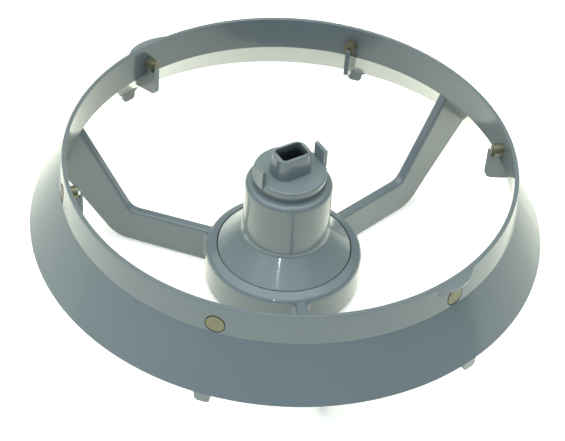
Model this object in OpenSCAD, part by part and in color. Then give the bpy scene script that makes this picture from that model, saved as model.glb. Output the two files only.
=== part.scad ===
// Disc holder ring for a food processor. A plastic ring with a flared skirt
// sits in the bowl, three cranked arms carry a collar in its middle, and a
// drive column turns in the collar. A slicing disc is driven by the column's
// boss and tabs, and its edge runs on six metal pins in the ring.
// Sizes are in millimetres. Z is up, the origin is on the turning axis, level
// with the lowest edges, and every height is above that level.

/* [Ring wall] */
// Height of the rim
rim_z = 60.8; // [57:0.2:66]
// Outer radius of the rim
rim_r = 80; // [76:0.5:84]
// Thickness of the wall at the rim
rim_t = 1.5; // [1.2:0.1:1.8]
// Height of the upright band between the rim and the skirt
band_h = 11.3; // [10.5:0.1:12.5]
// How much wider the band is at its foot than at the rim
band_flare = 1; // [0.4:0.1:1.6]
// Thickness of the wall at the foot of the band
foot_t = 2; // [1.8:0.1:2.4]
// How far the inner crease of the wall lies below the outer one
crease_drop = 2.2; // [1.4:0.1:3]
// Radius of the rim's two edges
rim_round = 0.4; // [0.2:0.1:0.5]

/* [Skirt] */
// Height of the skirt below the band
skirt_h = 18.2; // [16:0.2:20]
// How much wider the skirt is at its lower edge than at the band
skirt_flare = 10.9; // [9:0.1:12]
// Thickness of the skirt at its lower edge, measured level
skirt_edge_t = 1.4; // [1.1:0.1:2]
// Width of each foot under the skirt
foot_w = 5.4; // [4.6:0.2:9]
// How far each foot reaches below the skirt
foot_h = 4; // [3:0.1:6]
// Radius of the lower corners of a foot
foot_round = 1.6; // [1:0.1:2.2]
// Radius of the fillets between a foot and the skirt's edge
foot_fillet = 1.6; // [0.8:0.1:2]

/* [Rim pads] */
// How far each pad stands out beyond the rim
pad_out = 3; // [2:0.1:4]
// Radius of a pad's outline
pad_r = 12.4; // [10:0.2:16]
// How far the pad's top falls from the rim to its edge
pad_fall = 1; // [0.4:0.1:1.6]
// Thickness of a pad at its edge
pad_t = 1.2; // [0.8:0.1:1.6]

/* [Pins] */
// Depth of the pins' axes below the rim
pin_drop = 7.9; // [7.4:0.1:8.2]
// Diameter of a pin's shank
shank_d = 4.6; // [3.6:0.1:4.8]
// Diameter of a pin's head
head_d = 6.4; // [5.6:0.1:6.8]
// Thickness of a pin's head
head_t = 1.1; // [0.8:0.05:1.2]
// Space round a head in its seat
head_gap = 0.3; // [0.2:0.05:0.4]
// Length of the shank inside the wall
shank_in = 3.8; // [3:0.1:6]
// Gap between a pin's end and the prong in front of it
end_gap = 0.8; // [0.3:0.1:1.2]

/* [Fins] */
// Thickness of a fin
fin_t = 1.8; // [1.4:0.1:2.4]
// Thickness of the prong in front of a pin
prong_t = 0.8; // [0.7:0.05:1.2]
// Height of a prong above its pin's axis
prong_up = 0.3; // [0.1:0.1:1.5]
// Depth of a fin's lower inner corner below the pin's axis
fin_drop = 12; // [9:0.1:13]
// Radius of a fin's lower inner corner
fin_round = 1.8; // [1:0.1:3]
// Fall of a fin's lower edge towards the skirt, in degrees
fin_slope = 10; // [4:1:14]

/* [Arms] */
// Thickness of an arm
arm_t = 4; // [3.2:0.1:4.8]
// Height of an arm's level top edge
arm_z = 15.2; // [13.5:0.1:16]
// Radius at which an arm's top edge turns up
arm_top_r = 59.7; // [54:0.1:64]
// Rise of an arm's bottom edge from its root to its bend, in degrees
arm_rise = 1; // [0:0.2:2]
// Radius at which an arm's bottom edge turns up
arm_low_r = 65.6; // [62:0.1:70]
// Radius of the bend in the top edge
arm_top_bend = 4; // [2:0.2:8]
// Radius of the bend in the bottom edge
arm_low_bend = 12; // [5:0.2:14]
// Radius of the long edges of an arm
arm_round = 1.1; // [0.4:0.1:1.2]
// Radius of the fillet between an arm and the collar
root_fillet = 2.4; // [1.2:0.1:4]

/* [Collar] */
// Outer radius of the collar
collar_r = 28.7; // [27.5:0.1:31]
// Height of the collar at the seam
collar_z = 17; // [16:0.1:18]
// Height of the collar's lower edge
collar_low_z = 3; // [2.8:0.1:4]
// Radius of the collar's outer top edge
collar_round = 2.3; // [1:0.1:3]
// Fall of the collar's top from the seam outwards, in degrees
collar_slope = 20; // [10:1:30]
// Thickness of the collar's outer wall under the floor
collar_t = 2.4; // [1.8:0.1:3]
// Height of the floor that the column stands on
floor_z = 12; // [11:0.1:13]
// Thickness of that floor
floor_t = 2.8; // [2:0.1:3.2]
// Thickness of the bearing tube
bearing_t = 2.2; // [1.6:0.1:3]

/* [Drive column] */
// Radius of the cone's edge at the seam
cone_r = 24.4; // [23.4:0.1:25]
// Radius of the cone's edge rounding
cone_round = 0.6; // [0.3:0.1:1]
// Thickness of the cone
cone_t = 2.4; // [1.8:0.1:3]
// Outer radius of the column
column_r = 15.7; // [15.2:0.1:16.5]
// Height of the column's shoulder
column_z = 48.4; // [46:0.1:49]
// Radius of the shoulder
shoulder_round = 2.2; // [1:0.1:3]
// Radius of the fillet between the column and the cone
base_fillet = 2; // [1:0.1:4]
// Radius of the bore that takes the bowl's centre post
bore_r = 13; // [12:0.1:13.4]
// Height of the bore's end
bore_z = 45.5; // [44:0.1:46]
// Outer radius of the journal in the bearing tube
journal_r = 15; // [14.7:0.1:15.1]
// Running clearance between the column and the collar
run_gap = 0.3; // [0.2:0.05:0.4]
// Gap of the seam between the cone's edge and the collar
seam_gap = 0.35; // [0.3:0.05:0.6]
// Height of the journal's lower end
journal_z = 1; // [0.8:0.1:1.2]
// How far the snap bead stands out from the journal
bead_out = 0.9; // [0.6:0.05:1]
// Width of the slots that part the snap fingers
slot_w = 2; // [1.2:0.1:3]
// Height of the slots that part the snap fingers
slot_h = 8; // [5:0.1:10]

/* [Platform and boss] */
// Radius of the groove under the platform
neck_r = 12.4; // [12:0.1:12.8]
// Height of the groove
neck_h = 2.6; // [2:0.1:3]
// Radius of the platform
platform_r = 13.2; // [12.8:0.1:14]
// Thickness of the platform
platform_h = 2.4; // [2:0.1:3]
// Radius of the platform's top edge
platform_round = 0.8; // [0.3:0.1:1]
// Length of the boss at its foot
boss_l = 14.7; // [14:0.1:17]
// Width of the boss at its foot
boss_w = 10.6; // [10.2:0.1:12]
// Height of the boss above the platform
boss_h = 8.2; // [6:0.1:10]
// How far each side of the boss leans in from its foot to its top
boss_lean = 0.75; // [0.5:0.05:1]
// Radius of the boss's upright corners at its foot
boss_corner = 4.2; // [3.8:0.1:4.6]
// Radius of the boss's top edge
boss_round = 0.7; // [0.4:0.1:0.9]
// Length of the socket through the boss
socket_l = 10.2; // [9:0.1:10.6]
// Width of the socket through the boss
socket_w = 6.8; // [5:0.1:7]
// Radius of the socket's corners
socket_corner = 1.3; // [0.5:0.1:2]
// Height of the socket's lower mouth
socket_z = 46.5; // [46.2:0.1:48]
// Radius of the pocket under the platform
pocket_r = 10.2; // [9.6:0.1:10.4]
// Inner faces of the two tabs, measured from the axis
tab_in = 11.8; // [11:0.1:12.2]
// Thickness of a tab
tab_t = 1.6; // [1.4:0.1:1.9]
// Width of a tab
tab_w = 6; // [5:0.1:7]
// Height of a tab above the platform
tab_h = 5.9; // [5:0.1:8]
// Radius of a tab's top edges
tab_round = 0.7; // [0.3:0.1:0.8]

/* [Hidden] */
$fn = 128;
// Overlap that makes touching solids one
eps = 0.02;
// Overlap of two shapes deep inside the material, and what a cut runs past it
over = 1;
// Clearance of a pressed pin
press_gap = 0.01;

// Places round the axis, in degrees
pin_turn = 15;
pin_step = 60;
arm_turns = [45, 165, 285];
pad_turns = [135, 315];
boss_turn = 34;

// Corners of the ring's section
crease_r = rim_r + band_flare;
crease_z = rim_z - band_h;
edge_r = crease_r + skirt_flare;
edge_z = crease_z - skirt_h;
inner_crease_r = crease_r - foot_t;
inner_crease_z = crease_z - crease_drop;
inner_edge_r = edge_r - skirt_edge_t;

// Places of the pins and fins
pin_z = rim_z - pin_drop;
pin_wall_r = rim_r + band_flare * pin_drop / band_h;
pin_seat_r = pin_wall_r - head_t;
pin_end_r = inner_crease_r - shank_in;
notch_z = pin_z - shank_d / 2 - press_gap;
prong_r = pin_end_r - end_gap;
fin_r = prong_r - prong_t;
fin_low_z = pin_z - fin_drop;

// Slopes of an arm's outer run: its top edge ends at the wall's inner crease
// and its bottom edge at the skirt's outer edge
arm_root_r = journal_r + run_gap + bearing_t / 2;
arm_low_z = (arm_low_r - arm_root_r) * tan(arm_rise);
arm_top_slope = atan2(inner_crease_z - arm_z, inner_crease_r - arm_top_r);
arm_low_slope = atan2(edge_z - arm_low_z, edge_r - arm_low_r);
// Depth of an arm's rounded edges, and how far its plate's corners lie inside
// the bends
strip_h = 2 * arm_round;
corner_in = 1.2 * arm_round;
run_lap = 10 * eps;

// Heights and radii of the turning fit
recess_r = cone_r + seam_gap;
bearing_r = journal_r + run_gap;
cone_base_z = collar_z + cone_r - column_r;
neck_z = column_z + neck_h;
platform_z = neck_z + platform_h;
boss_z = platform_z + boss_h;

// A rectangle given by two opposite corners
module box2(x0, y0, x1, y1) {
    translate([x0, y0])
        square([x1 - x0, y1 - y0]);
}

// A rectangle with its two upper corners rounded, standing on the X axis
module round_top(w, h, r) {
    box2(-w / 2, 0, w / 2, h - r);
    box2(-w / 2 + r, 0, w / 2 - r, h);
    for (side = [-1, 1])
        translate([side * (w / 2 - r), h - r])
            circle(r);
}

// A rectangle with four rounded corners, about the origin
module round_rect(l, w, r) {
    square([l - 2 * r, w], center = true);
    square([l, w - 2 * r], center = true);
    for (x = [-1, 1], y = [-1, 1])
        translate([x * (l / 2 - r), y * (w / 2 - r)])
            circle(r);
}

// Stands a flat outline up in the radial plane, with thickness t across it
module upright(t) {
    translate([0, t / 2, 0])
        rotate([90, 0, 0])
            linear_extrude(t)
                children();
}

// Section of the ring's wall and skirt
module wall_section() {
    difference() {
        polygon([
            [rim_r - rim_t, rim_z],
            [rim_r, rim_z],
            [crease_r, crease_z],
            [edge_r, edge_z],
            [inner_edge_r, edge_z],
            [inner_crease_r, inner_crease_z]
        ]);
        rim_edge_cut(rim_r, 1);
        rim_edge_cut(rim_r - rim_t, -1);
    }
}

// What a rounded rim edge takes off its corner
module rim_edge_cut(r, side) {
    difference() {
        translate([r - side * rim_round / 2 + side * eps, rim_z - rim_round / 2 + eps])
            square(rim_round + 2 * eps, center = true);
        translate([r - side * rim_round, rim_z - rim_round])
            circle(rim_round);
    }
}

// All space inside the outer surface of the wall and skirt
module inside_skirt() {
    rotate_extrude()
        polygon([
            [0, -over],
            [edge_r - skirt_edge_t / 4, -over],
            [edge_r - skirt_edge_t / 4, edge_z],
            [crease_r - foot_t / 4, crease_z],
            [rim_r - rim_t / 4, rim_z - rim_round],
            [0, rim_z - rim_round]
        ]);
}

// A foot under the skirt's edge, filleted to the edge at both sides
module foot() {
    root_h = skirt_edge_t;
    side_x = foot_w / 2 + foot_fillet;
    fillet_y = root_h + foot_fillet - eps;
    translate([inner_edge_r - skirt_edge_t / 4, 0, edge_z + root_h])
        rotate([90, 0, 90])
            mirror([0, 1])
                linear_extrude(skirt_edge_t + over) {
                    round_top(foot_w, foot_h + root_h, foot_round);
                    difference() {
                        box2(-side_x, 0, side_x, fillet_y);
                        for (side = [-1, 1])
                            translate([side * side_x, fillet_y])
                                circle(foot_fillet);
                    }
                }
}

// The plate under a pin, with the prong that stops it
module fin() {
    upright(fin_t) {
        difference() {
            polygon([
                [fin_r, pin_z + prong_up],
                [prong_r, pin_z + prong_up],
                [prong_r, notch_z],
                [edge_r, notch_z],
                [edge_r, fin_low_z - (edge_r - fin_r) * tan(fin_slope)],
                [fin_r, fin_low_z]
            ]);
            difference() {
                box2(fin_r - over, fin_low_z - over, fin_r + fin_round, fin_low_z + fin_round);
                translate([fin_r + fin_round, fin_low_z + fin_round])
                    circle(fin_round);
            }
        }
    }
}

// A ledge that stands out from the rim above a pin
module pad() {
    intersection() {
        translate([rim_r + pad_out - pad_r, 0, 0])
            cylinder(r = pad_r, h = rim_z + over);
        rotate_extrude()
            polygon([
                [rim_r - rim_t / 2, rim_z - rim_round],
                [rim_r, rim_z - rim_round / 4],
                [rim_r + pad_out + over, rim_z - rim_round / 4 - pad_fall * (pad_out + over) / pad_out],
                [rim_r + pad_out + over, rim_z - pad_fall - pad_t],
                [rim_r + pad_out, rim_z - pad_fall - pad_t],
                [rim_r, rim_z - pad_fall - pad_t - pad_out / 2],
                [rim_r - rim_t / 2, rim_z - pad_fall - pad_t - pad_out / 2]
            ]);
    }
}

// Outline across an arm's rounded edge, which lies at y = 0 with the material
// below. It is larger than the arm's own size by the slack, and deeper by the
// lap, so that one run or bend ends well inside the next.
module edge_section(slack, lap) {
    translate([0, -strip_h - lap])
        round_top(arm_t + 2 * slack, strip_h + lap + slack, arm_round);
}

// A straight run of rounded edge from one point of the radial plane to
// another, ending inside its neighbours. The material lies on the right of
// the way from a to b.
module edge_run(a, b) {
    way = b - a;
    translate([a[0], 0, a[1]])
        rotate([0, -atan2(way[1], way[0]), 0])
            rotate([90, 0, 90])
                translate([0, 0, -run_lap])
                    linear_extrude(norm(way) + 2 * run_lap)
                        edge_section(-eps, -run_lap);
}

// A bend of rounded edge about a centre, from one angle to another, with the
// material outside (side = 1) or inside (side = -1) of its radius
module edge_bend(centre, r, from, to, side) {
    translate([centre[0], 0, centre[1]])
        rotate([90, 0, 0])
            rotate([0, 0, from])
                rotate_extrude(angle = to - from)
                    translate([r, 0])
                        rotate([0, 0, side * 90])
                            edge_section(eps, run_lap);
}

// The point at a distance from p in the direction of an angle
function along(p, angle, d) = [p[0] + d * cos(angle), p[1] + d * sin(angle)];

// One cranked arm, from the bearing tube out to the skirt
module arm() {
    top_corner = [arm_top_r, arm_z];
    top_cut = arm_top_bend * tan(arm_top_slope / 2);
    top_start = along(top_corner, 180, top_cut);
    top_end = along(top_corner, arm_top_slope, top_cut);
    low_corner = [arm_low_r, arm_low_z];
    low_cut = arm_low_bend * tan((arm_low_slope - arm_rise) / 2);
    low_start = along(low_corner, 180 + arm_rise, low_cut);
    low_end = along(low_corner, arm_low_slope, low_cut);
    low_centre = along(low_start, 90 + arm_rise, arm_low_bend);
    outer_top = [inner_crease_r, inner_crease_z];
    outer_low = [edge_r, edge_z];

    edge_run([arm_root_r, arm_z], top_start);
    edge_bend(along(top_start, 90, arm_top_bend), arm_top_bend, -90, arm_top_slope - 90, 1);
    edge_run(top_end, along(outer_top, arm_top_slope, foot_t));
    edge_run(low_start, [arm_root_r, 0]);
    edge_bend(low_centre, arm_low_bend, arm_rise - 90, arm_low_slope - 90, -1);
    edge_run(along(outer_low, arm_low_slope, skirt_edge_t), low_end);
    upright(arm_t)
        polygon([
            [arm_root_r, arm_round],
            along(along(low_start, 180 + arm_rise, arm_t), 90 + arm_rise, arm_round),
            along(low_centre, (arm_low_slope + arm_rise) / 2 - 90, arm_low_bend - corner_in),
            along(along(low_end, arm_low_slope, arm_t), 90 + arm_low_slope, arm_round),
            along(outer_low, 90 + arm_low_slope, arm_round) + [skirt_edge_t, 0],
            outer_top + [foot_t, 0],
            along(outer_top, arm_top_slope - 90, arm_round),
            along(along(top_end, arm_top_slope, arm_t / 2), arm_top_slope - 90, arm_round),
            along(top_corner, arm_top_slope / 2 - 90, corner_in),
            [top_start[0] - arm_t / 2, arm_z - arm_round],
            [arm_root_r, arm_z - arm_round]
        ]);
}

// Fillets on both sides of an arm's root, between it and the collar
module root_fillets() {
    reach = collar_r + root_fillet;
    side_y = arm_t / 2 + root_fillet;
    side_x = sqrt(reach * reach - side_y * side_y);
    for (side = [0, 1])
        mirror([0, side, 0])
            translate([0, 0, collar_low_z])
                linear_extrude(arm_z - arm_round - run_lap - collar_low_z)
                    difference() {
                        polygon([
                            [collar_r - collar_t / 2, 0],
                            [side_x, 0],
                            [side_x, arm_t / 2],
                            [side_x, side_y] * collar_r / reach,
                            [side_x, side_y] * (collar_r - collar_t / 2) / reach
                        ]);
                        translate([side_x, side_y])
                            circle(root_fillet);
                    }
}

// Section of the collar, its floor and the bearing tube, before its recess
module collar_section() {
    corner_z = collar_z - (collar_r - recess_r) * tan(collar_slope);
    centre_x = collar_r - collar_round;
    centre_z = corner_z + collar_round * (tan(collar_slope) - 1 / cos(collar_slope));
    difference() {
        polygon([
            [bearing_r, collar_low_z],
            [bearing_r, collar_z + (recess_r - bearing_r) * tan(collar_slope)],
            [collar_r, corner_z],
            [collar_r, collar_low_z],
            [collar_r - collar_t, collar_low_z],
            [collar_r - collar_t, floor_z - floor_t],
            [bearing_r + bearing_t, floor_z - floor_t],
            [bearing_r + bearing_t, collar_low_z]
        ]);
        // The rounded outer edge
        difference() {
            polygon([
                [centre_x, centre_z],
                along([centre_x, centre_z], 90 - collar_slope, collar_round + eps),
                [collar_r + eps, corner_z + eps],
                [collar_r + eps, centre_z]
            ]);
            translate([centre_x, centre_z])
                circle(collar_round);
        }
    }
}

// The stepped hole that a pin is pressed into
module pin_hole() {
    translate([0, 0, pin_z])
        rotate([0, 90, 0]) {
            translate([0, 0, pin_seat_r])
                cylinder(d = head_d + 2 * head_gap, h = 4 * head_t);
            translate([0, 0, prong_r])
                cylinder(d = shank_d + 2 * press_gap, h = rim_r - prong_r);
        }
}

// The ring moulding: wall, skirt, feet, fins, pads, arms and collar
module ring_carrier() {
    color("lightslategray")
        difference() {
            union() {
                rotate_extrude()
                    wall_section();
                rotate_extrude()
                    collar_section();
                intersection() {
                    inside_skirt();
                    union() {
                        for (turn = arm_turns)
                            rotate([0, 0, turn])
                                arm();
                        for (i = [0:5])
                            rotate([0, 0, pin_turn + i * pin_step]) {
                                fin();
                                foot();
                            }
                    }
                }
                for (turn = arm_turns)
                    rotate([0, 0, turn])
                        root_fillets();
                for (turn = pad_turns)
                    rotate([0, 0, turn])
                        pad();
            }
            // The recess that the column's cone turns in
            translate([0, 0, floor_z])
                cylinder(r = recess_r, h = collar_z);
            for (i = [0:5])
                rotate([0, 0, pin_turn + i * pin_step])
                    pin_hole();
        }
}

// Section of the drive column, solid to the axis above the bore
module column_section() {
    cone_x = cone_r - cone_round;
    fillet_x = column_r + base_fillet;
    fillet_z = cone_base_z + base_fillet * tan(22.5);
    under = collar_z + cone_r - cone_t * sqrt(2);
    bead_r = journal_r + bead_out;
    bead_z = collar_low_z - run_gap;
    difference() {
        union() {
            box2(0, cone_base_z - cone_t, column_r, column_z - shoulder_round);
            box2(0, column_z - shoulder_round - eps, column_r - shoulder_round, column_z);
            translate([column_r - shoulder_round, column_z - shoulder_round])
                circle(shoulder_round);
            box2(0, column_z - eps, neck_r, neck_z);
            box2(0, neck_z - eps, platform_r, platform_z - platform_round);
            box2(0, neck_z, platform_r - platform_round, platform_z);
            translate([platform_r - platform_round, platform_z - platform_round])
                circle(platform_round);
            // The cone, its rounded edge and its rim
            polygon([
                [0, floor_z + run_gap],
                [cone_r, floor_z + run_gap],
                [cone_r, collar_z - cone_round * tan(22.5)],
                [cone_x, collar_z - cone_round * tan(22.5)],
                [cone_x + cone_round * sin(45), collar_z - cone_round * (tan(22.5) - sin(45))],
                [column_r - over, cone_base_z + over],
                [0, cone_base_z + over]
            ]);
            translate([cone_x, collar_z - cone_round * tan(22.5)])
                circle(cone_round);
            // The fillet between the column and the cone
            difference() {
                polygon([
                    [column_r - over, cone_base_z + over - eps],
                    [column_r - over, fillet_z],
                    [column_r, fillet_z],
                    [fillet_x, fillet_z],
                    [fillet_x - base_fillet * sin(45), fillet_z - base_fillet * sin(45)]
                ]);
                translate([fillet_x, fillet_z])
                    circle(base_fillet);
            }
            // The journal and its snap bead
            box2(0, journal_z, journal_r, cone_base_z);
            polygon([
                [journal_r - eps, journal_z],
                [bead_r, bead_z - bead_out],
                [bead_r, bead_z - bead_out / 3],
                [journal_r - eps, bead_z]
            ]);
        }
        // The hollow under the cone
        polygon([
            [journal_r, floor_z],
            [journal_r, under - journal_r],
            [cone_r - cone_t, under - cone_r + cone_t],
            [cone_r - cone_t, floor_z]
        ]);
        box2(-over, 0, bore_r, bore_z);
    }
}

// Half of the boss's outline, from a line beside the middle out to its leaning
// side, with the top edge rounded
module boss_side(from, reach) {
    lean = atan(boss_lean / boss_h);
    top = boss_h + eps;
    centre = [reach - (top - boss_round) * tan(lean) - boss_round / cos(lean), top - boss_round];
    polygon([
        [from, 0],
        [reach, 0],
        along(centre, lean, boss_round),
        centre,
        [centre[0], top],
        [from, top]
    ]);
    translate(centre)
        circle(boss_round);
}

// A run of the boss's outline of a length and a width
module boss_run(l, w) {
    rotate([90, 0, 0])
        translate([0, 0, -w / 2])
            linear_extrude(w)
                for (side = [0, 1])
                    mirror([side, 0])
                        boss_side(-over, l / 2);
}

// The boss, whose four sides lean in to its rounded top edge
module boss() {
    straight_l = boss_l - 2 * boss_corner;
    straight_w = boss_w - 2 * boss_corner;
    translate([0, 0, platform_z - eps]) {
        boss_run(boss_l, straight_w);
        rotate([0, 0, 90])
            boss_run(boss_w, straight_l);
        for (x = [-1, 1], y = [-1, 1])
            translate([x * straight_l / 2, y * straight_w / 2, 0])
                rotate_extrude()
                    boss_side(0, boss_corner);
    }
}

// One of the two upright tabs beside the boss, which stand out from the side
// of the platform
module tab() {
    foot_z = neck_z + platform_round / 2;
    translate([tab_in + tab_t / 2, 0, foot_z])
        rotate([90, 0, 0])
            translate([0, 0, -tab_w / 2])
                linear_extrude(tab_w)
                    round_top(tab_t, platform_z + tab_h - foot_z, tab_round);
}

// The turning column: cone, column, platform, boss and tabs
module drive_column() {
    color("slategray")
        rotate([0, 0, boss_turn])
            difference() {
                union() {
                    difference() {
                        rotate_extrude()
                            column_section();
                        translate([0, 0, bore_z - eps])
                            cylinder(r = pocket_r, h = platform_z - platform_h + eps - bore_z);
                    }
                    translate([0, 0, socket_z])
                        linear_extrude(platform_z - over - socket_z)
                            round_rect(boss_l, boss_w, boss_corner);
                    boss();
                    for (side = [0, 180])
                        rotate([0, 0, side])
                            tab();
                }
                translate([0, 0, socket_z - over])
                    linear_extrude(boss_z - socket_z + 2 * over)
                        round_rect(socket_l, socket_w, socket_corner);
                for (side = [45, 135])
                    rotate([0, 0, side])
                        translate([-cone_r, -slot_w / 2, 0])
                            cube([2 * cone_r, slot_w, journal_z + slot_h]);
            }
}

// A headed pin, with its head outwards, in its seat number i
module pin(i) {
    color("tan")
        rotate([0, 0, pin_turn + i * pin_step])
            translate([0, 0, pin_z])
                rotate([0, 90, 0]) {
                    translate([0, 0, pin_end_r])
                        cylinder(d = shank_d, h = pin_seat_r + eps - pin_end_r);
                    translate([0, 0, pin_seat_r])
                        cylinder(d = head_d, h = head_t);
                }
}

ring_carrier();
drive_column();
pin(0);  // pin_1
pin(1);  // pin_2
pin(2);  // pin_3
pin(3);  // pin_4
pin(4);  // pin_5
pin(5);  // pin_6
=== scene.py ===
# Looks of the disc holder ring: materials, floor, light and camera.
# Lengths are in metres, turns in degrees and colours in linear values.
import math

import bpy
from mathutils import Matrix, Vector

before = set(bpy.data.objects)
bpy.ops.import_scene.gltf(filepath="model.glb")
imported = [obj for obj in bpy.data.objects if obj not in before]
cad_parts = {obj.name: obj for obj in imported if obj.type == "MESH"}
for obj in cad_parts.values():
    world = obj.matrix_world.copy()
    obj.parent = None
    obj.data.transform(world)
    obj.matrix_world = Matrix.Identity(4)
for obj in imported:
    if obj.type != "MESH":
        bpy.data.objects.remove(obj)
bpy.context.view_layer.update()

# Camera, fitted to the photograph's view
IMAGE_WIDTH = 565
SENSOR_MM = 36.0
FOCAL_PIXELS = 1817.4
CLIP_START = 0.01
RIM_HEIGHT = 0.0608
CAMERA_DISTANCE = 0.6368
CAMERA_AZIMUTH = -90.6
CAMERA_ELEVATION = 40.39
CAMERA_AIM = (-0.00137, -0.01232, 0.040)
CAMERA_ROLL = 4.554

# Moulded skin: the scale and detail of its clouds, smears and fine unevenness
CLOUD_NOISE = (38.0, 3.0)
SMEAR_NOISE = (90.0, 4.0)
SMEAR_ROUGHNESS = 0.12
FINE_NOISE = (900.0, 2.0)
FINE_HEIGHT = 0.0002

# Plastics
PLASTIC_IOR = 1.5
PLASTIC_SPECULAR = 0.25
PLASTIC_COAT = 0.7
PLASTIC_COAT_ROUGHNESS = 0.07
PLASTIC_CLOUD = 0.10
PLASTIC_SKIN = 0.10
RING_GREY = (0.172, 0.210, 0.228)
RING_ROUGHNESS = 0.30
COLUMN_GREY = (0.205, 0.247, 0.262)
COLUMN_ROUGHNESS = 0.26

# Pins
PIN_COUNT = 6
PIN_BEIGE = (0.205, 0.195, 0.125)
PIN_METALLIC = 0.5
PIN_ROUGHNESS = 0.32
PIN_CLOUD = 0.25
PIN_SKIN = 0.15

# Knit lines, where the plastic's flows met in the mould
KNIT_TURNS = (34.0, -12.5)
KNIT_WIDTH = 0.0005
KNIT_DEPTH = 0.00005
KNIT_FROM_AXIS = 0.070
KNIT_FOOT = 0.033
KNIT_FADE = 0.008
KNIT_SHARE = 0.30
KNIT_GREY = (0.09, 0.11, 0.12)

# Socket in the boss, and the painted shade that darkens its walls downward
SOCKET_TURN = 34.0
SOCKET_REACH = (0.00535, 0.00365)
SOCKET_TOP = 0.0615
SOCKET_SHADE_FADE = 0.004
SOCKET_SHADE_AT_TOP = 0.15
SOCKET_SHADE_BELOW = 0.95
PAINTED_SOCKET_SHADE = (0.012, 0.020, 0.030)

# Floor, as it is, as the camera sees it and as gloss mirrors it
FLOOR_SIZE = 12.0
FLOOR_WHITE = (0.95, 0.95, 0.86)
FLOOR_ROUGHNESS = 0.9
FLOOR_SPECULAR = 0.1
SEEN_WHITE = (1.0, 1.0, 1.0)
SEEN_STRENGTH = 0.5
MIRRORED_TINT = (1.0, 1.0, 0.80)
MIRRORED_INSIDE = 1.0
MIRRORED_OUTSIDE = 0.25
MIRRORED_EDGES = (0.09, 0.22)

# Lamps: name, place, side, power and colour
LAMP_AIM = (0.0, 0.0, 0.03)
TUBE_TINT = (0.85, 0.96, 1.0)
WINDOW_WHITE = (1.0, 1.0, 1.0)
LAMPS = (
    ("upper tube", (-0.112, -0.764, 0.925), 0.065, 0.9, TUBE_TINT),
    ("lower tube", (-0.112, -0.790, 0.870), 0.055, 0.5, TUBE_TINT),
    ("left window", (-1.0, -0.5, 0.7), 0.8, 0.7, WINDOW_WHITE),
)

# Studio light from all round: the front, right, back and left of each level
HORIZON = (
    (0.20, 0.28, 0.45), (0.25, 0.31, 0.25), (0.52, 0.59, 0.46), (0.85, 0.87, 0.85),
)
LOW_WALLS = (
    (0.02, 0.02, 0.03), (0.02, 0.02, 0.02), (0.42, 0.42, 0.34), (0.04, 0.05, 0.04),
)
HIGH_WALLS = (
    (0.74, 0.85, 1.14), (1.27, 1.42, 1.40), (0.62, 0.63, 0.54), (2.05, 2.26, 2.18),
)
CEILING = (2.46, 2.61, 2.48)
LOW_EDGES = (0.20, 0.32)
HIGH_EDGES = (0.58, 0.70)
CEILING_EDGES = (0.86, 0.95)


def link(tree, start, end):
    """Links one socket to another."""
    tree.links.new(start, end)


def feed(tree, value, socket):
    """Gives a socket a number, a colour or another socket's value."""
    if isinstance(value, bpy.types.NodeSocket):
        link(tree, value, socket)
    elif isinstance(value, tuple):
        socket.default_value = (*value, 1.0)
    else:
        socket.default_value = value


def node(tree, kind, **values):
    """Adds a shader node and sets its attributes."""
    made = tree.nodes.new(kind)
    for name, value in values.items():
        setattr(made, name, value)
    return made


def reckoned(tree, operation, *values):
    """The result of a sum on numbers or sockets."""
    made = node(tree, "ShaderNodeMath", operation=operation)
    for value, socket in zip(values, made.inputs):
        feed(tree, value, socket)
    return made.outputs[0]


def smooth_step(tree, value, edges, low=0.0, high=1.0):
    """A smooth change from low to high between two edges of a value."""
    made = node(tree, "ShaderNodeMapRange", interpolation_type="SMOOTHSTEP")
    made.inputs["From Min"].default_value = edges[0]
    made.inputs["From Max"].default_value = edges[1]
    made.inputs["To Min"].default_value = low
    made.inputs["To Max"].default_value = high
    link(tree, value, made.inputs["Value"])
    return made.outputs["Result"]


def noise(tree, place, scale, detail):
    """Soft noise over the piece."""
    made = node(tree, "ShaderNodeTexNoise")
    made.inputs["Scale"].default_value = scale
    made.inputs["Detail"].default_value = detail
    link(tree, place, made.inputs["Vector"])
    return made.outputs["Fac"]


def mixed_colour(tree, share, low, high):
    """A colour between two, each given as numbers or as a socket."""
    made = node(tree, "ShaderNodeMix", data_type="RGBA")
    link(tree, share, made.inputs["Factor"])
    for name, colour in (("A", low), ("B", high)):
        for socket in made.inputs:
            if socket.name == name and socket.type == "RGBA":
                feed(tree, colour, socket)
    return [out for out in made.outputs if out.type == "RGBA"][0]


def turned_place(tree, turn):
    """Object coordinates turned about the part's axis."""
    place = node(tree, "ShaderNodeTexCoord")
    turned = node(tree, "ShaderNodeMapping", vector_type="TEXTURE")
    turned.inputs["Rotation"].default_value[2] = math.radians(turn)
    link(tree, place.outputs["Object"], turned.inputs["Vector"])
    return turned.outputs["Vector"]


def split(tree, vector):
    """The three parts of a vector, by the names of their axes."""
    made = node(tree, "ShaderNodeSeparateXYZ")
    link(tree, vector, made.inputs[0])
    return made.outputs


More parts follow.
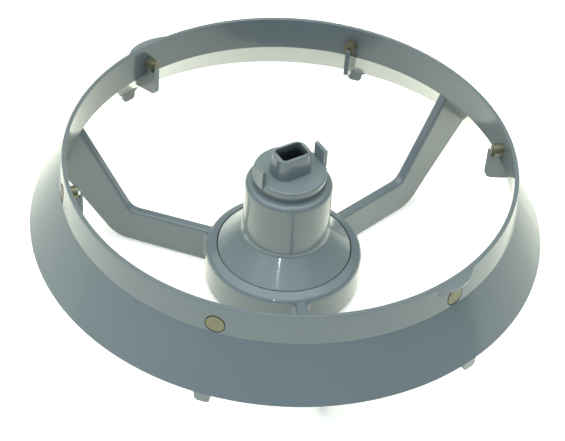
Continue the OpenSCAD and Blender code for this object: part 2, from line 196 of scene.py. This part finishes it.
def moulded_skin():
    """The surface of a moulding: soft colour clouds, smears and a fine skin."""
    tree = bpy.data.node_groups.new("Moulded skin", "ShaderNodeTree")
    for name, kind, value in (
        ("Colour", "NodeSocketColor", (0.2, 0.2, 0.2, 1.0)),
        ("Cloud", "NodeSocketFloat", 0.1),
        ("Gloss", "NodeSocketFloat", 0.35),
        ("Skin", "NodeSocketFloat", 0.1),
    ):
        made = tree.interface.new_socket(name=name, in_out="INPUT", socket_type=kind)
        made.default_value = value
    for name, kind in (
        ("Colour", "NodeSocketColor"),
        ("Roughness", "NodeSocketFloat"),
        ("Normal", "NodeSocketVector"),
    ):
        tree.interface.new_socket(name=name, in_out="OUTPUT", socket_type=kind)
    given = node(tree, "NodeGroupInput").outputs
    result = node(tree, "NodeGroupOutput").inputs
    place = node(tree, "ShaderNodeTexCoord").outputs["Object"]

    # Broad clouds of lighter and darker colour
    cloud = reckoned(tree, "SUBTRACT", noise(tree, place, *CLOUD_NOISE), 0.5)
    weighed = reckoned(tree, "MULTIPLY_ADD", cloud, given["Cloud"], 1.0)
    shaded = node(tree, "ShaderNodeVectorMath", operation="SCALE")
    link(tree, given["Colour"], shaded.inputs[0])
    link(tree, weighed, shaded.inputs["Scale"])
    link(tree, shaded.outputs["Vector"], result["Colour"])

    # Smears that make the gloss slightly uneven
    smear = noise(tree, place, *SMEAR_NOISE)
    roughness = reckoned(tree, "MULTIPLY_ADD", smear, SMEAR_ROUGHNESS, given["Gloss"])
    link(tree, roughness, result["Roughness"])

    # The skin's fine unevenness
    bump = node(tree, "ShaderNodeBump")
    bump.inputs["Distance"].default_value = FINE_HEIGHT
    link(tree, given["Skin"], bump.inputs["Strength"])
    link(tree, noise(tree, place, *FINE_NOISE), bump.inputs["Height"])
    link(tree, bump.outputs["Normal"], result["Normal"])
    return tree


def skinned(name, skin, colour, cloud, gloss, fine):
    """A material whose shader takes its surface from the moulded skin."""
    made = bpy.data.materials.new(name)
    made.use_nodes = True
    tree = made.node_tree
    shader = tree.nodes["Principled BSDF"]
    surface = node(tree, "ShaderNodeGroup", node_tree=skin)
    feed(tree, colour, surface.inputs["Colour"])
    surface.inputs["Cloud"].default_value = cloud
    surface.inputs["Gloss"].default_value = gloss
    surface.inputs["Skin"].default_value = fine
    link(tree, surface.outputs["Colour"], shader.inputs["Base Color"])
    link(tree, surface.outputs["Roughness"], shader.inputs["Roughness"])
    link(tree, surface.outputs["Normal"], shader.inputs["Normal"])
    return made


def plastic(name, skin, colour, gloss):
    """A glossy moulded plastic of one colour."""
    made = skinned(name, skin, colour, PLASTIC_CLOUD, gloss, PLASTIC_SKIN)
    shader = made.node_tree.nodes["Principled BSDF"]
    shader.inputs["IOR"].default_value = PLASTIC_IOR
    shader.inputs["Specular IOR Level"].default_value = PLASTIC_SPECULAR
    shader.inputs["Coat Weight"].default_value = PLASTIC_COAT
    shader.inputs["Coat Roughness"].default_value = PLASTIC_COAT_ROUGHNESS
    return made


def pin_metal(skin):
    """Plain turned metal with a warm tone."""
    made = skinned("Pin metal", skin, PIN_BEIGE, PIN_CLOUD, PIN_ROUGHNESS, PIN_SKIN)
    shader = made.node_tree.nodes["Principled BSDF"]
    shader.inputs["Metallic"].default_value = PIN_METALLIC
    return made


def knit_line(tree, turn):
    """A mask of one upright line on the ring's wall and skirt."""
    parts = split(tree, turned_place(tree, turn))
    aside = reckoned(tree, "ABSOLUTE", parts["Y"])
    near = smooth_step(tree, aside, (KNIT_WIDTH, 0.0))
    outside = reckoned(tree, "GREATER_THAN", parts["X"], KNIT_FROM_AXIS)
    above = smooth_step(tree, parts["Z"], (KNIT_FOOT, KNIT_FOOT + KNIT_FADE))
    return reckoned(tree, "MULTIPLY", near, reckoned(tree, "MULTIPLY", outside, above))


def add_knit_lines(material):
    """Adds the faint knit lines, slightly sunk and darker."""
    tree = material.node_tree
    shader = tree.nodes["Principled BSDF"]
    colour = shader.inputs["Base Color"].links[0].from_socket
    normal = shader.inputs["Normal"].links[0].from_socket
    lines = [knit_line(tree, turn) for turn in KNIT_TURNS]
    both = reckoned(tree, "MAXIMUM", *lines)
    share = reckoned(tree, "MULTIPLY", both, KNIT_SHARE)
    link(tree, mixed_colour(tree, share, colour, KNIT_GREY), shader.inputs["Base Color"])
    sunk = node(tree, "ShaderNodeBump", invert=True)
    sunk.inputs["Distance"].default_value = KNIT_DEPTH
    link(tree, both, sunk.inputs["Height"])
    link(tree, normal, sunk.inputs["Normal"])
    link(tree, sunk.outputs["Normal"], shader.inputs["Normal"])


def add_socket_painted_shade(material):
    """Paints shade on the plastic down the walls of the socket in the boss."""
    tree = material.node_tree
    shader = tree.nodes["Principled BSDF"]
    colour = shader.inputs["Base Color"].links[0].from_socket
    size = node(tree, "ShaderNodeVectorMath", operation="ABSOLUTE")
    link(tree, turned_place(tree, SOCKET_TURN), size.inputs[0])
    parts = split(tree, size.outputs["Vector"])
    within = [
        reckoned(tree, "LESS_THAN", parts[axis], reach)
        for axis, reach in zip("XY", SOCKET_REACH)
    ]
    inside = reckoned(tree, "MULTIPLY", *within)
    # Painted shade: the socket's walls get darker with depth, like a recess in shade
    depth = (SOCKET_TOP, SOCKET_TOP - SOCKET_SHADE_FADE)
    shade_by_depth = smooth_step(tree, parts["Z"], depth, SOCKET_SHADE_AT_TOP, SOCKET_SHADE_BELOW)
    share = reckoned(tree, "MULTIPLY", inside, shade_by_depth)
    link(tree, mixed_colour(tree, share, colour, PAINTED_SOCKET_SHADE), shader.inputs["Base Color"])


def give_material(name, material):
    """Puts a material on a CAD node in place of its plain one."""
    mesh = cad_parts[name].data
    for i in range(len(mesh.materials)):
        mesh.materials[i] = material
    if not mesh.materials:
        mesh.materials.append(material)


def floor_material():
    """A pale floor that looks a little brighter than it is, and takes a shadow."""
    made = bpy.data.materials.new("Pale floor")
    made.use_nodes = True
    tree = made.node_tree
    shader = tree.nodes["Principled BSDF"]
    feed(tree, FLOOR_WHITE, shader.inputs["Base Color"])
    shader.inputs["Roughness"].default_value = FLOOR_ROUGHNESS
    shader.inputs["Specular IOR Level"].default_value = FLOOR_SPECULAR

    # White for the camera
    rays = node(tree, "ShaderNodeLightPath").outputs
    seen = reckoned(tree, "MULTIPLY", rays["Is Camera Ray"], SEEN_STRENGTH)

    # A warmer white in mirror images, weaker away from the ring
    place = node(tree, "ShaderNodeTexCoord")
    reach = node(tree, "ShaderNodeVectorMath", operation="LENGTH")
    link(tree, place.outputs["Object"], reach.inputs[0])
    fade = smooth_step(
        tree, reach.outputs["Value"], MIRRORED_EDGES, MIRRORED_INSIDE, MIRRORED_OUTSIDE
    )
    by_gloss = reckoned(
        tree, "MAXIMUM", rays["Is Glossy Ray"], rays["Is Transmission Ray"]
    )
    mirrored = reckoned(tree, "MULTIPLY", by_gloss, fade)

    surface = shader.outputs["BSDF"]
    for strength, colour in ((seen, SEEN_WHITE), (mirrored, MIRRORED_TINT)):
        glow = node(tree, "ShaderNodeEmission")
        feed(tree, colour, glow.inputs["Color"])
        link(tree, strength, glow.inputs["Strength"])
        both = node(tree, "ShaderNodeAddShader")
        link(tree, surface, both.inputs[0])
        link(tree, glow.outputs["Emission"], both.inputs[1])
        surface = both.outputs["Shader"]
    link(tree, surface, tree.nodes["Material Output"].inputs["Surface"])
    return made


def add_floor():
    """The floor that the part stands on."""
    bpy.ops.object.select_all(action="DESELECT")
    bpy.ops.mesh.primitive_plane_add(size=FLOOR_SIZE, location=(0, 0, 0))
    floor = bpy.context.object
    floor.name = "floor"
    floor.data.materials.append(floor_material())


def add_lamp(name, place, side, power, colour):
    """A square soft lamp that faces the part."""
    data = bpy.data.lights.new(name, "AREA")
    data.shape = "SQUARE"
    data.size = side
    data.energy = power
    data.color = colour
    lamp = bpy.data.objects.new(name, data)
    bpy.context.scene.collection.objects.link(lamp)
    lamp.location = place
    facing = Vector(LAMP_AIM) - Vector(place)
    lamp.rotation_euler = facing.to_track_quat("-Z", "Y").to_euler()


def add_studio():
    """Soft light from all round: a bright ceiling, dimmer walls and a pale horizon."""
    world = bpy.data.worlds.new("Studio")
    bpy.context.scene.world = world
    world.use_nodes = True
    tree = world.node_tree
    place = node(tree, "ShaderNodeTexCoord")
    parts = split(tree, place.outputs["Generated"])

    # Shares of the four sides
    wide, deep = [
        reckoned(tree, "MULTIPLY", parts[axis], parts[axis]) for axis in "XY"
    ]
    share = reckoned(tree, "DIVIDE", deep, reckoned(tree, "ADD", wide, deep))
    to_right, to_back = [
        reckoned(tree, "GREATER_THAN", parts[axis], 0.0) for axis in "XY"
    ]

    # Levels from the horizon to the walls
    levels = []
    for front, right, back, left in (HORIZON, LOW_WALLS, HIGH_WALLS):
        across = mixed_colour(tree, to_right, left, right)
        along = mixed_colour(tree, to_back, front, back)
        levels.append(mixed_colour(tree, share, across, along))

    # Each level over the one below it, with the ceiling on top
    horizon, low, high = levels
    seen = horizon
    for above, edges in (
        (low, LOW_EDGES), (high, HIGH_EDGES), (CEILING, CEILING_EDGES),
    ):
        seen = mixed_colour(tree, smooth_step(tree, parts["Z"], edges), seen, above)
    link(tree, seen, tree.nodes["Background"].inputs["Color"])


def add_camera():
    """The camera at the photograph's place, angle and framing."""
    azimuth = math.radians(CAMERA_AZIMUTH)
    elevation = math.radians(CAMERA_ELEVATION)
    place = Vector((
        CAMERA_DISTANCE * math.cos(azimuth) * math.cos(elevation),
        CAMERA_DISTANCE * math.sin(azimuth) * math.cos(elevation),
        CAMERA_DISTANCE * math.sin(elevation) + RIM_HEIGHT,
    ))
    data = bpy.data.cameras.new("camera")
    data.sensor_width = SENSOR_MM
    data.lens = FOCAL_PIXELS / IMAGE_WIDTH * SENSOR_MM
    data.clip_start = CLIP_START
    camera = bpy.data.objects.new("camera", data)
    bpy.context.scene.collection.objects.link(camera)
    facing = Vector(CAMERA_AIM) - place
    turn = facing.to_track_quat("-Z", "Y").to_matrix().to_4x4()
    roll = Matrix.Rotation(math.radians(CAMERA_ROLL), 4, "Z")
    camera.matrix_world = Matrix.Translation(place) @ turn @ roll
    bpy.context.scene.camera = camera


add_camera()
add_floor()
add_studio()
for lamp in LAMPS:
    add_lamp(*lamp)

skin = moulded_skin()
ring_plastic = plastic("Ring plastic", skin, RING_GREY, RING_ROUGHNESS)
add_knit_lines(ring_plastic)
give_material("ring_carrier", ring_plastic)
column_plastic = plastic("Column plastic", skin, COLUMN_GREY, COLUMN_ROUGHNESS)
# Painted shade down the walls of the boss's socket
add_socket_painted_shade(column_plastic)
give_material("drive_column", column_plastic)
metal = pin_metal(skin)
for number in range(1, PIN_COUNT + 1):
    give_material(f"pin_{number}", metal)

bpy.context.scene.view_settings.view_transform = "Standard"
